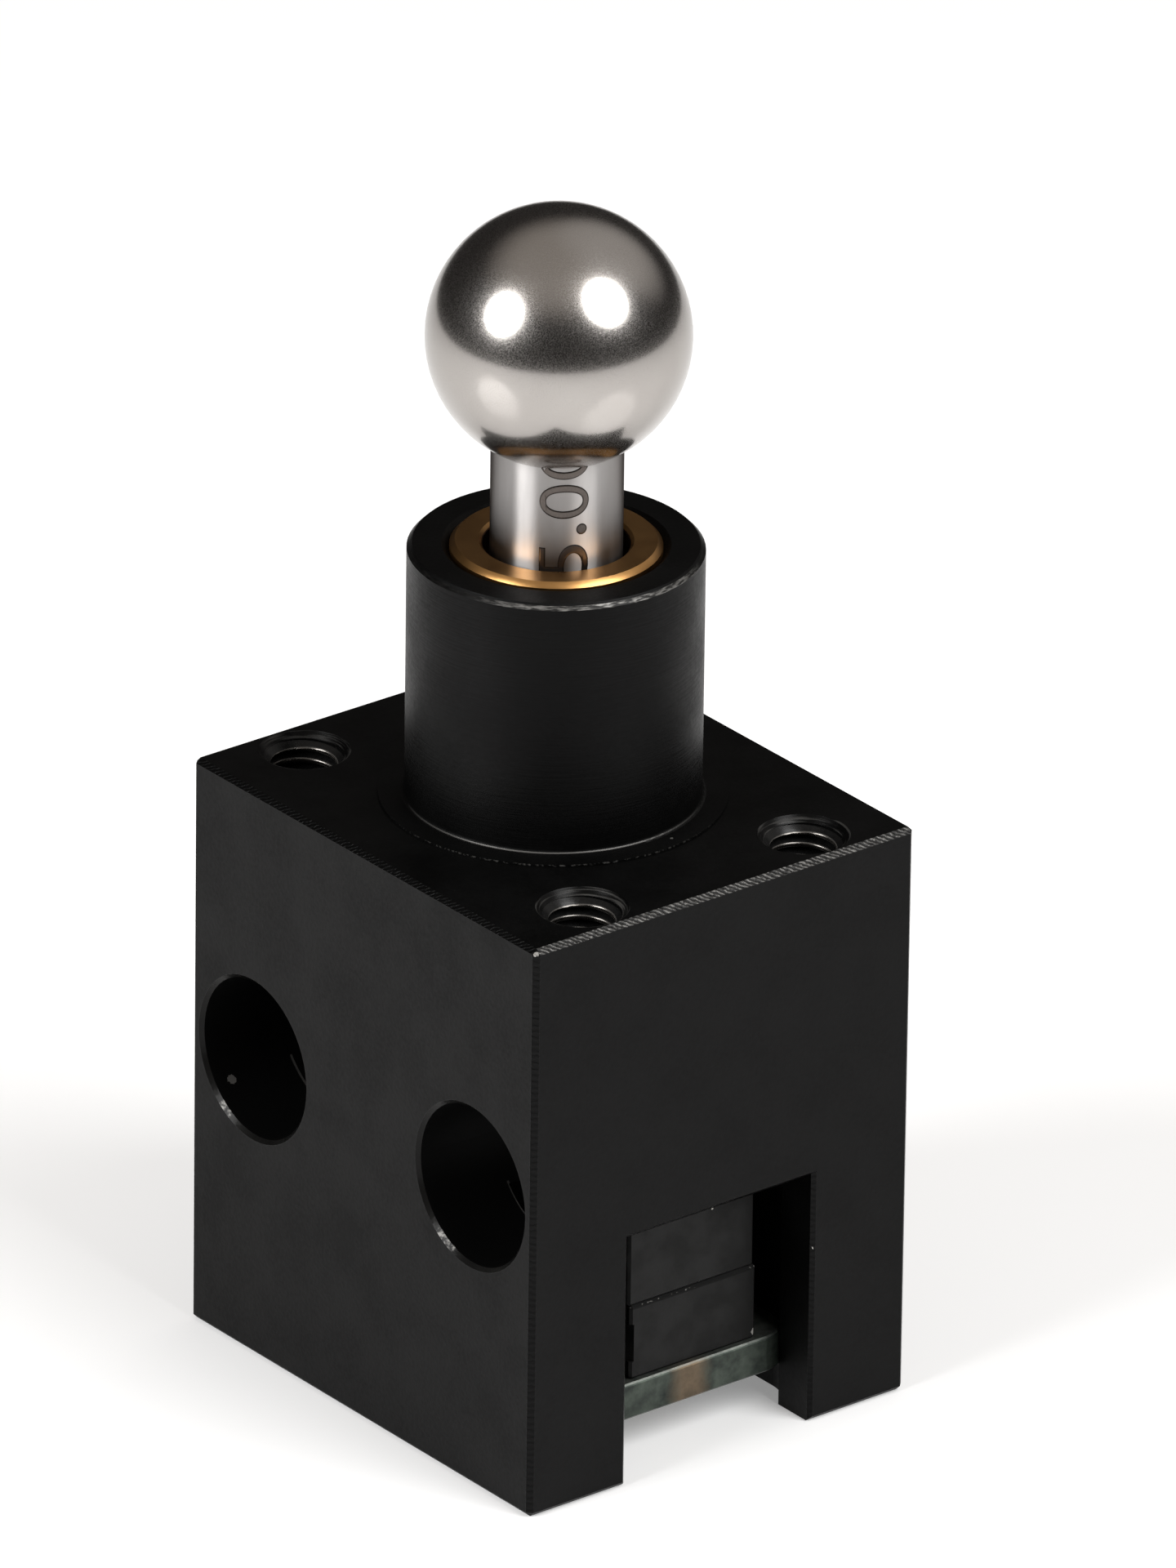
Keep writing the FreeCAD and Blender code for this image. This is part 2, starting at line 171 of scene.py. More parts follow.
# How far off a chamfer's own surface, and how far past its limit, its mask still holds
CUT_TOLERANCE = 0.02
CUT_MARGIN = 0.01

# The rim's chamfer is worn up to this level only
RIM_WORN_LEVEL = RIM_LEVEL - 0.08

# Half the width of the burr in a bore and how far above the slot it reaches, half the width of
# the line at the boss's foot and the whole width of the land's edge, both partly worn and partly
# painted highlight
BURR_HALF_WIDTH = 0.05
BURR_REACH = 0.1
FOOT_HALF_WIDTH = 0.04
LAND_EDGE = 0.03


def block_cuts(tree, place):
    """Masks of what the cutters left on the block: the milled breaks of the ends' top edges and of
    the other edges, the turned chamfers of the rim, the countersinks and the bores, the inside of
    the bores, the burr where they break into the cavity, the boss, the corner at its foot, and
    the edge of the land round it. A chamfer is a cone or a plane at 45 degrees, so two distances
    on it have a constant sum or difference. Each row gives the two distances, how they combine,
    what they come to, and a third value that stays below a limit on that chamfer."""
    size = add(tree, "VectorMath", [place], operation="ABSOLUTE")
    across, along, up = add(tree, "SeparateXYZ", [size]).outputs
    radius = from_axis(tree, place)
    hole = from_axis(tree, size, centre=(HOLE_ACROSS, HOLE_ALONG, 0))
    bore = from_axis(tree, size, centre=(0, BORE_AT, BORE_LEVEL), plane=(0, 1, 1))
    slot_side = SLOT_HALF_WIDTH + SLOT_BREAK
    slot_top = SLOT_LEVEL + SLOT_BREAK
    bore_mouth = BORE_RADIUS + BORE_BREAK
    end_rows = [(along, up, "ADD", HALF_DEPTH + TOP_LEVEL - EDGE_BREAK, up, TOP_LEVEL)]
    side_rows = [
        (across, up, "ADD", HALF_WIDTH + TOP_LEVEL - EDGE_BREAK, up, TOP_LEVEL),
        (across, along, "ADD", HALF_WIDTH + HALF_DEPTH - EDGE_BREAK, up, TOP_LEVEL),
        (across, along, "SUBTRACT", slot_side - HALF_DEPTH, up, slot_top),
        (up, along, "SUBTRACT", slot_top - HALF_DEPTH, across, slot_side),
    ]
    rim_rows = [(radius, up, "ADD", BOSS_RADIUS + RIM_LEVEL - EDGE_BREAK, up, RIM_WORN_LEVEL)]
    sink_rows = [(hole, up, "SUBTRACT", SINK_RADIUS - TOP_LEVEL, hole, SINK_RADIUS)]
    bore_rows = [(bore, across, "SUBTRACT", bore_mouth - HALF_WIDTH, bore, bore_mouth)]
    masks = []
    for rows in (end_rows, side_rows, rim_rows, sink_rows, bore_rows):
        found = []
        for first, second, operation, level, bounded, limit in rows:
            total = add(tree, "Math", [first, second], operation=operation)
            on_cut = add(tree, "Math", [total, level, CUT_TOLERANCE], operation="COMPARE")
            within = add(tree, "Math", [bounded, limit + CUT_MARGIN], operation="LESS_THAN")
            found.append(both(tree, on_cut, within))
        masks.append(either(tree, found))
    drilled = add(tree, "Math", [bore, BORE_RADIUS + CUT_MARGIN], operation="LESS_THAN")
    breaking = add(tree, "Math", [across, CAVITY_HALF_WIDTH, BURR_HALF_WIDTH], operation="COMPARE")
    in_cavity = add(tree, "Math", [up, SLOT_LEVEL + BURR_REACH], operation="LESS_THAN")
    masks += [drilled, both(tree, both(tree, drilled, breaking), in_cavity)]
    land_level = TOP_LEVEL + LAND_HEIGHT
    masks.append(add(tree, "Math", [up, land_level + CUT_MARGIN], operation="GREATER_THAN"))
    low = add(tree, "Math", [up, land_level + FOOT_RADIUS], operation="LESS_THAN")
    high = add(tree, "Math", [up, TOP_LEVEL + LAND_HEIGHT / 2], operation="GREATER_THAN")
    on_land = both(tree, low, high)
    from_foot = add(tree, "Math", [radius, up], operation="SUBTRACT")
    at_foot = add(tree, "Math", [from_foot, BOSS_RADIUS - land_level, FOOT_HALF_WIDTH],
                  operation="COMPARE")
    at_edge = add(tree, "Math", [radius, LAND_RADIUS - LAND_EDGE], operation="GREATER_THAN")
    masks += [both(tree, on_land, at_foot), both(tree, on_land, at_edge)]
    return masks


# How far a spot's outline wanders, and how long the waves in it are
SPOT_WANDER = 0.16
SPOT_WAVE = 0.1


def spots(tree, place, rows):
    """1 in small ragged spots, each with its place and its radius, and 0 elsewhere."""
    tear = add(tree, "TexNoise", {"Vector": place, "Scale": 1 / SPOT_WAVE}).outputs["Color"]
    ragged = add(tree, "VectorMath", [tear, (SPOT_WANDER,) * 3, place], operation="MULTIPLY_ADD")
    ragged = add(tree, "VectorMath", [ragged, (SPOT_WANDER / 2,) * 3], operation="SUBTRACT")
    found = []
    for centre, radius in rows:
        distance = add(tree, "VectorMath", [ragged, centre], operation="DISTANCE")
        found.append(add(tree, "Math", [distance, radius], operation="LESS_THAN"))
    return either(tree, found)


# How far the worn places show the metal. The spots on the bores' chamfers are painted glints, and
# the boss's foot and the land's edge are partly wear and partly painted highlight.
RIM_WEAR = 0.5
SINK_WEAR = 0.12
EDGE_WEAR = 0.35
BORE_WEAR = 0.03
PAINTED_GLINT_DEPTH = 0.3
BURR_WEAR = 0.3
FOOT_WEAR_AND_HIGHLIGHT = 0.22
LAND_EDGE_WEAR_AND_HIGHLIGHT = 0.13

# Where the rim is handled most, and where the wear and painted highlight of the boss's foot and the
# land's edge are strongest
RIM_HANDLED_AT = (-1.7, -5.2, 33.9)
LAND_WEAR_AND_HIGHLIGHT_AT = (-3.6, -4.6, 23.7)

# How rough the chamfers and edge breaks are, the inside of the bores, and the bores' chamfers
CUT_ROUGHNESS = 0.3
DRILLED_ROUGHNESS = 0.55
BORE_BREAK_ROUGHNESS = 0.2

# The length of the milled ripple along an edge, and that of a diagonal wave texture of scale 1
RIPPLE_LENGTH = 0.26
WAVE_LENGTH = 0.63

# How deep the stipple and the boss's turned lines are, against the milled ripple
STIPPLE_DEPTH = 0.5
TURNING_DEPTH = 1.2

# The nicks that go through the black coat to the metal, each with its place and its radius
COAT_NICKS = [
    ((-8.92, -10.42, 23.44), 0.11),
    ((4.5, -10.4, 7.32), 0.045),
    ((-2.74, -2.31, 23.7), 0.06),
    ((-1.44, -4.16, 23.7), 0.07),
    ((0.94, -6.01, 23.7), 0.06),
    ((-8.1, 9.2, 10.3), 0.2),
]

# Where bare metal is painted on the chamfers of the two bores as painted glints, where the left
# lamp's reflection falls, each with its place and its radius
BORE_PAINTED_GLINTS = [
    ((-8.93, -5.17, 9.55), 0.55),
    ((-8.93, 8.42, 9.62), 0.4),
]


def black_anodised():
    """Milled aluminium, fine bead blasted and black anodised: a nearly black coat that shows
    little more than the satin reflection of what stands around it, with a stipple and faint
    clouds. The boss is smoother, with the lines of its turning. The milled edge breaks carry the
    cutter's ripple, and the coat is thin on its crests along the top of the ends. Handling has
    worn the turned chamfers to streaks and specks of metal. The boss's foot and the edge of the
    land show metal that is partly wear and partly a painted highlight, strongest at the front.
    Spots of bare metal on the bores' chamfers are painted glints, where a lamp's reflection
    falls. The stipple and the lines are drawn coarser than the real ones, or they wouldn't show."""
    material, tree, place = new_material("black_anodised")
    ends, sides, rim, sinks, bores, drilled, burr, boss, foot, land_edge = block_cuts(tree, place)
    milled = either(tree, [ends, sides])
    turned = either(tree, [rim, sinks])
    cut = either(tree, [milled, turned, bores, foot])
    clouds = add(tree, "TexNoise", {"Vector": place, "Scale": 1 / 2.5, "Detail": 4.0})
    stipple = add(tree, "TexNoise", {"Vector": place, "Scale": 1 / 0.16, "Detail": 3.0})
    ripple = add(tree, "TexWave", {
        "Vector": place, "Scale": WAVE_LENGTH / RIPPLE_LENGTH, "Distortion": 3.0,
        "Detail": 2.0, "Detail Scale": 2.5}, bands_direction="DIAGONAL")
    ring_place = add(tree, "VectorMath", [place, (0.25, 0.25, 6.0)], operation="MULTIPLY")
    rings = add(tree, "TexNoise", {"Vector": ring_place, "Scale": 1 / 0.5, "Detail": 4.0})
    streaks = add(tree, "MapRange", {"Value": rings, "From Min": 0.5, "From Max": 0.68})
    from_rim = add(tree, "VectorMath", [place, RIM_HANDLED_AT], operation="DISTANCE")
    rim_handled = add(tree, "MapRange", {
        "Value": from_rim, "From Min": 5.0, "From Max": 2.8, "To Min": 0.03})
    # The boss's foot and the land's edge show metal that is partly wear and partly a painted
    # highlight, strongest at the front
    from_land = add(tree, "VectorMath", [place, LAND_WEAR_AND_HIGHLIGHT_AT], operation="DISTANCE")
    land_wear_and_highlight = add(tree, "MapRange", {"Value": from_land, "From Min": 7.0, "From Max": 3.0})
    specks = add(tree, "MapRange", {"Value": stipple, "From Min": 0.5, "From Max": 0.62})
    nick_place = add(tree, "VectorMath", [place, (0.4, 0.4, 2.5)], operation="MULTIPLY")
    nicks = add(tree, "TexNoise", {"Vector": nick_place, "Scale": 1 / 0.15, "Detail": 4.0})
    nicks = add(tree, "MapRange", {
        "Value": nicks, "From Min": 0.42, "From Max": 0.66, "To Min": 0.08, "To Max": 1.0})
    crests = add(tree, "MapRange", {
        "Value": ripple, "From Min": 0.4, "From Max": 0.95, "To Min": 0.1, "To Max": 1.0})
    crests = both(tree, crests, add(tree, "MapRange", {
        "Value": stipple, "From Min": 0.36, "From Max": 0.6, "To Min": 0.15}))
    flecks = add(tree, "MapRange", {"Value": stipple, "From Min": 0.4, "From Max": 0.62})
    # Painted glints: bare metal on the lower left of each bore's chamfer, where the lamp's
    # reflection falls
    painted_glints = both(tree, flecks, spots(tree, place, BORE_PAINTED_GLINTS))
    wear_and_glint_rows = [
        (rim, both(tree, nicks, rim_handled), RIM_WEAR), (sinks, streaks, SINK_WEAR),
        (ends, crests, EDGE_WEAR), (bores, clouds, BORE_WEAR), (burr, clouds, BURR_WEAR),
        # The boss's foot and the land's edge: partly wear, partly painted highlight
        (foot, land_wear_and_highlight, FOOT_WEAR_AND_HIGHLIGHT), (land_edge, both(tree, specks, land_wear_and_highlight), LAND_EDGE_WEAR_AND_HIGHLIGHT),
        # Painted glints on the bores' chamfers
        (bores, painted_glints, PAINTED_GLINT_DEPTH),
    ]
    worn = [both(tree, both(tree, mask, pattern), depth) for mask, pattern, depth in wear_and_glint_rows]
    bare = either(tree, [*worn, spots(tree, place, COAT_NICKS)])
    base = add(tree, "Mix", [clouds, colour("#020202"), colour("#060606")], data_type="RGBA")
    base = add(tree, "Mix", [bare, base, colour("#A8A6A2")], data_type="RGBA")
    satin = add(tree, "Mix", [0.4, clouds, stipple])
    satin = add(tree, "MapRange", {
        "Value": satin, "From Min": 0.38, "From Max": 0.62, "To Min": 0.38, "To Max": 0.52})
    rough = add(tree, "Mix", [cut, satin, CUT_ROUGHNESS])
    rough = add(tree, "Mix", [drilled, rough, DRILLED_ROUGHNESS])
    rough = add(tree, "Mix", [bores, rough, BORE_BREAK_ROUGHNESS])
    height = add(tree, "Mix", [milled, both(tree, stipple, STIPPLE_DEPTH), ripple])
    height = add(tree, "Mix", [boss, height, both(tree, rings, TURNING_DEPTH)])
    height = add(tree, "Mix", [turned, height, rings])
    bump = add(tree, "Bump", {"Height": height, "Strength": 0.8, "Distance": 0.012 * MM})
    shader = add(tree, "BsdfPrincipled", {
        "Base Color": base, "Metallic": bare, "Roughness": rough, "IOR": 1.2, "Normal": bump})
    show(tree, shader)
    return material


# How strongly the turned break of the bush's edge bulges: how far it drops from its middle, over
# the square of the distance
BUSH_BREAK_CROWN = 0.8


def turned_bronze():
    """Bearing bronze, turned and faced: warm brown where it mirrors the dark room, gold where it
    mirrors a lamp, with the fine rings of the tool about the axis. The turned break of its edge is
    slightly crowned. The gap round the pin is painted dark brown, as painted shade in that recess."""
    material, tree, place = new_material("turned_bronze")
    radius = from_axis(tree, place)
    ring_place = add(tree, "CombineXYZ", [radius, 0.0, 0.0])
    rings = add(tree, "TexNoise", {"Vector": ring_place, "Scale": 1 / 0.09, "Detail": 2.0})
    stain = add(tree, "TexNoise", {"Vector": place, "Scale": 1 / 1.6, "Detail": 5.0})
    base = add(tree, "Mix", [stain, colour("#A07443"), colour("#C99B62")], data_type="RGBA")
    # Painted shade: the gap round the pin is painted dark brown
    painted_gap_shade = add(tree, "Math", [radius, BUSH_MOUTH], operation="LESS_THAN")
    base = add(tree, "Mix", [painted_gap_shade, base, colour("#4A3018")], data_type="RGBA")
    rough = add(tree, "MapRange", {"Value": stain, "To Min": 0.23, "To Max": 0.35})
    bump = add(tree, "Bump", {"Height": rings, "Strength": 0.4, "Distance": 0.008 * MM})
    from_middle = add(tree, "Math", [radius, BUSH_RADIUS - BUSH_BREAK / 2], operation="SUBTRACT")
    from_middle = add(tree, "Math", [from_middle, -BUSH_BREAK / 2], operation="MAXIMUM")
    sag = add(tree, "Math", [from_middle, from_middle], operation="MULTIPLY")
    bump = add(tree, "Bump", {
        "Height": sag, "Strength": 1.0, "Distance": BUSH_BREAK_CROWN * MM, "Normal": bump},
        invert=True)
    shader = add(tree, "BsdfPrincipled", {
        "Base Color": base, "Metallic": 1.0, "Roughness": rough, "Normal": bump})
    show(tree, shader)
    return material


def ground_steel():
    """Hardened steel, centreless ground: the marks of the wheel run round the shank, too fine to
    see, and spread what it mirrors far up and down, so each lamp shows as a sharp upright streak.
    Faint streaks along the shank are drawn coarser than the real ones, or they wouldn't show."""
    material, tree, place = new_material("ground_steel")
    streak_place = add(tree, "VectorMath", [place, (1.0, 1.0, 0.12)], operation="MULTIPLY")
    streaks = add(tree, "TexNoise", {"Vector": streak_place, "Scale": 1 / 0.35, "Detail": 4.0})
    base = add(tree, "Mix", [streaks, colour("#AAA7A6"), colour("#BEBBB9")], data_type="RGBA")
    rough = add(tree, "MapRange", {
        "Value": streaks, "From Min": 0.35, "From Max": 0.65, "To Min": 0.31, "To Max": 0.36})
    bump = add(tree, "Bump", {"Height": streaks, "Strength": 0.15, "Distance": 0.002 * MM})
    along_shank = add(tree, "Tangent", direction_type="RADIAL", axis="Z")
    # The dark specular tint is painted shade: it darkens what the shank mirrors towards its sides,
    # standing in for the object's shadow there
    shader = add(tree, "BsdfPrincipled", {
        "Base Color": base, "Metallic": 1.0, "Roughness": rough, "Normal": bump,
        "Specular Tint": colour("#4A4846"), "Anisotropic": 1.0, "Anisotropic Rotation": 0.25,
        "Tangent": along_shank})
    show(tree, shader)
    return material


def polished_steel():
    """Bearing steel, lapped and satin polished: a clear mirror under a fine haze, so the lamps'
    reflections have a soft halo. The haze is finer than a pixel, and the few grains that show in
    it are drawn coarser than the real ones."""
    material, tree, place = new_material("polished_steel")
    grain = add(tree, "TexNoise", {"Vector": place, "Scale": 1 / 0.07, "Detail": 2.0})
    veil = add(tree, "TexNoise", {"Vector": place, "Scale": 1 / 0.015, "Detail": 1.0})
    haze = add(tree, "TexNoise", {"Vector": place, "Scale": 1 / 2.0, "Detail": 3.0})
    base = add(tree, "Mix", [haze, colour("#A39E9A"), colour("#AFABA7")], data_type="RGBA")
    rough = add(tree, "MapRange", {
        "Value": veil, "From Min": 0.45, "From Max": 0.7, "To Min": 0.12, "To Max": 0.41})
    bump = add(tree, "Bump", {"Height": grain, "Strength": 0.14, "Distance": 0.004 * MM})
    shader = add(tree, "BsdfPrincipled", {
        "Base Color": base, "Metallic": 1.0, "Roughness": rough, "Normal": bump})
    show(tree, shader)
    return material


# How far down from the plate's top its upper edges are bright
PLATE_EDGE = 0.06


def zinc_plate():
    """Cold rolled steel, zinc plated and dulled, with colours painted darker than the zinc's own as
    painted shade for the slot it lies in: soft blotches of pale green and grey, with a brown stain
    near the middle of its ends and bright upper edges."""
    material, tree, place = new_material("zinc_plate")
    blotches = add(tree, "TexNoise", {"Vector": place, "Scale": 1 / 0.7, "Detail": 5.0})
    mottle = add(tree, "TexNoise", {"Vector": place, "Scale": 1 / 0.25, "Detail": 4.0})
    across, _, up = add(tree, "SeparateXYZ", [place]).outputs
    edge = add(tree, "Math", [up, PLATE_TOP - PLATE_EDGE], operation="GREATER_THAN")
    edge = both(tree, edge, mottle)
    from_stain = add(tree, "Math", [across], operation="ABSOLUTE")
    wander = add(tree, "Math", [from_stain, blotches], operation="ADD")
    stain = add(tree, "MapRange", {
        "Value": wander, "From Min": 1.6, "From Max": 0.8}, interpolation_type="SMOOTHSTEP")
    spread = add(tree, "Mix", [0.25, blotches, mottle])
    spread = add(tree, "MapRange", {"Value": spread, "From Min": 0.3, "From Max": 0.7})
    # These colours are painted darker than zinc: painted shade for the slot under the magnets
    base = add(tree, "Mix", [spread, colour("#1B201F"), colour("#505850")], data_type="RGBA")
    brown = add(tree, "Mix", [spread, colour("#4A4135"), colour("#72624F")], data_type="RGBA")
    base = add(tree, "Mix", [stain, base, brown], data_type="RGBA")
    base = add(tree, "Mix", [edge, base, colour("#7E817C")], data_type="RGBA")
    rough = add(tree, "MapRange", {"Value": mottle, "To Min": 0.3, "To Max": 0.5})
    bump = add(tree, "Bump", {"Height": mottle, "Strength": 0.25, "Distance": 0.01 * MM})
    shader = add(tree, "BsdfPrincipled", {
        "Base Color": base, "Metallic": 0.8, "Roughness": rough, "Normal": bump})
    show(tree, shader)
    return material


# The band along the magnets' joint that is rough, and the one in it where the coat flakes
JOINT_BAND = MAGNET_JOINT - 0.08
ROUGH_HALF_WIDTH = 0.09
FLAKED_HALF_WIDTH = 0.025

# The chips in the coat of the magnets, each with its place and its radius
MAGNET_CHIPS = [
    ((1.15, -8.5, 9.2), 0.05),
    ((3.26, -8.48, 3.38), 0.14),
    ((0.6, -8.5, 6.24), 0.05),
]


def magnet_coat():
    """Sintered magnet under a thin black epoxy coat: dull and slightly uneven. The coat is flaked
    to bright metal in places along the joint between the two bars."""
    material, tree, place = new_material("magnet_coat")
    clouds = add(tree, "TexNoise", {"Vector": place, "Scale": 1 / 0.9, "Detail": 4.0})
    grain = add(tree, "TexNoise", {"Vector": place, "Scale": 1 / 0.1, "Detail": 2.0})
    flakes = add(tree, "TexNoise", {"Vector": place, "Scale": 1 / 0.2, "Detail": 2.0})
    up = add(tree, "SeparateXYZ", [place]).outputs["Z"]
    below_joint = add(tree, "Math", [up, JOINT_BAND, FLAKED_HALF_WIDTH], operation="COMPARE")
    flaked = add(tree, "MapRange", {
        "Value": flakes, "From Min": 0.62, "From Max": 0.68, "To Max": 0.5})
    flaked = both(tree, below_joint, flaked)
    chipped = spots(tree, place, MAGNET_CHIPS)
    bare = either(tree, [flaked, chipped])
    base = add(tree, "Mix", [clouds, colour("#050505"), colour("#0D0D0C")], data_type="RGBA")
    base = add(tree, "Mix", [bare, base, colour("#A09E99")], data_type="RGBA")
    rough = add(tree, "MapRange", {
        "Value": clouds, "From Min": 0.35, "From Max": 0.65, "To Min": 0.34, "To Max": 0.56})
    at_joint = add(tree, "Math", [up, JOINT_BAND, ROUGH_HALF_WIDTH], operation="COMPARE")
    rough = add(tree, "Mix", [at_joint, rough, 0.8])
    bump = add(tree, "Bump", {"Height": grain, "Strength": 0.3, "Distance": 0.01 * MM})
    shader = add(tree, "BsdfPrincipled", {
        "Base Color": base, "Metallic": bare, "Roughness": rough, "IOR": 1.27, "Normal": bump})
    show(tree, shader)
    return material


def tapped_thread():
    """Threads that were tapped before the coating: black flanks with the tap's chatter, and
    crests that a screw has worn bright."""
    material, tree, place = new_material("tapped_thread")
    size = add(tree, "VectorMath", [place], operation="ABSOLUTE")
    hole = from_axis(tree, size, centre=(HOLE_ACROSS, HOLE_ALONG, 0))
    crest = HOLE_RADIUS - THREAD_DEPTH
    worn = add(tree, "MapRange", {
        "Value": hole, "From Min": crest + 0.05, "From Max": crest + 0.01})
    chatter = add(tree, "TexNoise", {"Vector": place, "Scale": 1 / 0.15, "Detail": 3.0})
    black = add(tree, "Mix", [chatter, colour("#050505"), colour("#101010")], data_type="RGBA")
    base = add(tree, "Mix", [worn, black, colour("#75726E")], data_type="RGBA")
    rough = add(tree, "MapRange", {"Value": chatter, "To Min": 0.2, "To Max": 0.36})
    bump = add(tree, "Bump", {"Height": chatter, "Strength": 0.3, "Distance": 0.008 * MM})
    shader = add(tree, "BsdfPrincipled", {
        "Base Color": base, "Metallic": worn, "Roughness": rough, "IOR": 1.3, "Normal": bump})
    show(tree, shader)
    return material


def laser_mark():
    """Steel darkened by the marking laser: a grey-brown oxide skin with a dull shine, a little
    uneven along the strokes and burnt darker along their banked edges."""
    material, tree, place = new_material("laser_mark")
    pulses = add(tree, "TexNoise", {"Vector": place, "Scale": 1 / 0.07, "Detail": 3.0})
    radius = from_axis(tree, place)
    face = PIN_RADIUS + MARK_LIP + MARK_PROUD
    core = add(tree, "MapRange", {
        "Value": radius, "From Min": face - 0.6 * MARK_PROUD,
        "From Max": face - 0.1 * MARK_PROUD})
    base = add(tree, "Mix", [pulses, colour("#544E4A"), colour("#665F5B")], data_type="RGBA")
    base = add(tree, "Mix", [core, colour("#332E2B"), base], data_type="RGBA")
    bump = add(tree, "Bump", {"Height": pulses, "Strength": 0.3, "Distance": 0.005 * MM})
    shader = add(tree, "BsdfPrincipled", {
        "Base Color": base, "Metallic": 0.95, "Roughness": 0.32, "Normal": bump})
    show(tree, shader)
    return material


# Pieces that the solids don't have


def finish_piece(piece, name, body, material):
    """Names and paints a new piece, and ties it to its body and to its material slot."""
    piece.name = name
    paint(piece, material)
    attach(piece, body)


def wind_thread():
    """The ridge of one tapped thread about the Z axis. A trapezoid is wound up the hole, and what
    stands in the countersink is pushed back to its cone."""
    bpy.ops.object.select_all(action="DESELECT")
    inner = HOLE_RADIUS - THREAD_DEPTH
    outer = HOLE_RADIUS + THREAD_ROOT_SINK
    bpy.ops.mesh.primitive_plane_add(size=1.0)
    ridge = bpy.context.object
    ridge.rotation_euler.x = math.pi / 2
    ridge.scale = ((outer - inner) * MM, THREAD_FOOT * MM, 1.0)
    ridge.location = ((inner + outer) / 2 * MM, 0, THREAD_BOTTOM * MM)
    bpy.ops.object.transform_apply()
    bpy.ops.object.mode_set(mode="EDIT")
    bpy.ops.mesh.select_all(action="DESELECT")
    bpy.ops.object.mode_set(mode="OBJECT")
    for vertex in ridge.data.vertices:
        vertex.select = vertex.co.x < (inner + outer) / 2 * MM
    bpy.ops.object.mode_set(mode="EDIT")
    bpy.ops.transform.resize(value=(1, 1, THREAD_CREST / THREAD_FOOT),
                             center_override=(inner * MM, 0, THREAD_BOTTOM * MM))
    bpy.ops.mesh.bevel(offset=THREAD_ROUNDING * MM, segments=4, affect="VERTICES")
    bpy.ops.mesh.select_all(action="SELECT")
    bpy.ops.mesh.delete(type="ONLY_FACE")
    bpy.ops.object.mode_set(mode="OBJECT")
    winding = ridge.modifiers.new("winding", "SCREW")
    winding.screw_offset = THREAD_PITCH * MM
    winding.iterations = math.floor((TOP_LEVEL - THREAD_BOTTOM) / THREAD_PITCH)
    winding.steps = THREAD_STEPS
    winding.render_steps = THREAD_STEPS
    bpy.ops.object.modifier_apply(modifier="winding")
    bpy.ops.object.mode_set(mode="EDIT")
    bpy.ops.mesh.select_all(action="SELECT")
    bpy.ops.mesh.remove_doubles(threshold=0.0001 * MM)
    bpy.ops.mesh.fill_holes(sides=12)
    bpy.ops.mesh.select_all(action="SELECT")
    bpy.ops.mesh.normals_make_consistent(inside=False)
    bpy.ops.object.mode_set(mode="OBJECT")
    for vertex in ridge.data.vertices:
        vertex.co.z = min(vertex.co.z, (TOP_LEVEL - 2 * THREAD_ROOT_SINK) * MM)
        radius = vertex.co.xy.length / MM
        cone = SINK_RADIUS - (TOP_LEVEL - vertex.co.z / MM) + THREAD_ROOT_SINK
        if radius < cone:
            vertex.co.xy *= cone / radius
    bpy.ops.object.shade_smooth_by_angle(angle=math.radians(30))
    return ridge


def tap_holes():
    """A thread in each of the four holes in the top face."""
    material = tapped_thread()
    first = wind_thread()
    places = [(x, y) for x in (-HOLE_ACROSS, HOLE_ACROSS) for y in (-HOLE_ALONG, HOLE_ALONG)]
    for number, (x, y) in enumerate(places, start=1):
        thread = first.copy()
        thread.data = first.data.copy()
        bpy.context.scene.collection.objects.link(thread)
        thread.data.transform(Matrix.Translation((x * MM, y * MM, 0)))
        finish_piece(thread, "thread_%d" % number, "housing", material)
    bpy.data.objects.remove(first)


# The size mark reads upwards. Each character has its lowest and highest level on the pin, and how
# far it reaches from the line on which the characters stand.
MARK = [
    ("5", 33.55, 34.94, 0.0, 1.89),
    (".", 35.33, 35.77, 0.07, 0.49),
    ("0", 36.02, 37.41, 0.0, 1.89),
    ("0", 37.62, 39.01, 0.0, 1.89),
]
MARK_LINE = math.radians(260.1)
MARK_STRIPS = 16


def engrave(character, low, high, near, far):
    """One character of the size mark, flat and in millimetres at first and with banked edges, then
    cut in strips and wrapped on the pin."""
    bpy.ops.object.select_all(action="DESELECT")
    bpy.ops.object.text_add()
    bpy.context.object.data.body = character
    bpy.ops.object.convert(target="MESH")
    glyph = bpy.context.object
    corners = [Vector(corner) for corner in glyph.bound_box]
    start, end = corners[0], corners[6]
    glyph.data.transform(Matrix.Translation(-start))
    stretch = ((high - low) / (end.x - start.x), (far - near) / (end.y - start.y), 1.0, 1.0)
    glyph.data.transform(Matrix.Diagonal(stretch))
    glyph.data.transform(Matrix.Translation((low, near, 0)))
    bpy.ops.object.mode_set(mode="EDIT")
    bpy.ops.mesh.select_all(action="SELECT")
    bpy.ops.mesh.remove_doubles(threshold=0.001)
    bpy.ops.mesh.inset(thickness=MARK_BANK)
    bpy.ops.transform.translate(value=(0, 0, MARK_PROUD))
    for strip in range(1, MARK_STRIPS):
        bpy.ops.mesh.select_all(action="SELECT")
        height = near + (far - near) * strip / MARK_STRIPS
        bpy.ops.mesh.bisect(plane_co=(0, height, 0), plane_no=(0, 1, 0))
    bpy.ops.object.mode_set(mode="OBJECT")
    for vertex in glyph.data.vertices:
        level, height, proud = vertex.co
        radius = PIN_RADIUS + MARK_LIP + proud
        angle = MARK_LINE - height / PIN_RADIUS
        vertex.co = Vector((radius * math.cos(angle), radius * math.sin(angle), level)) * MM
    return glyph


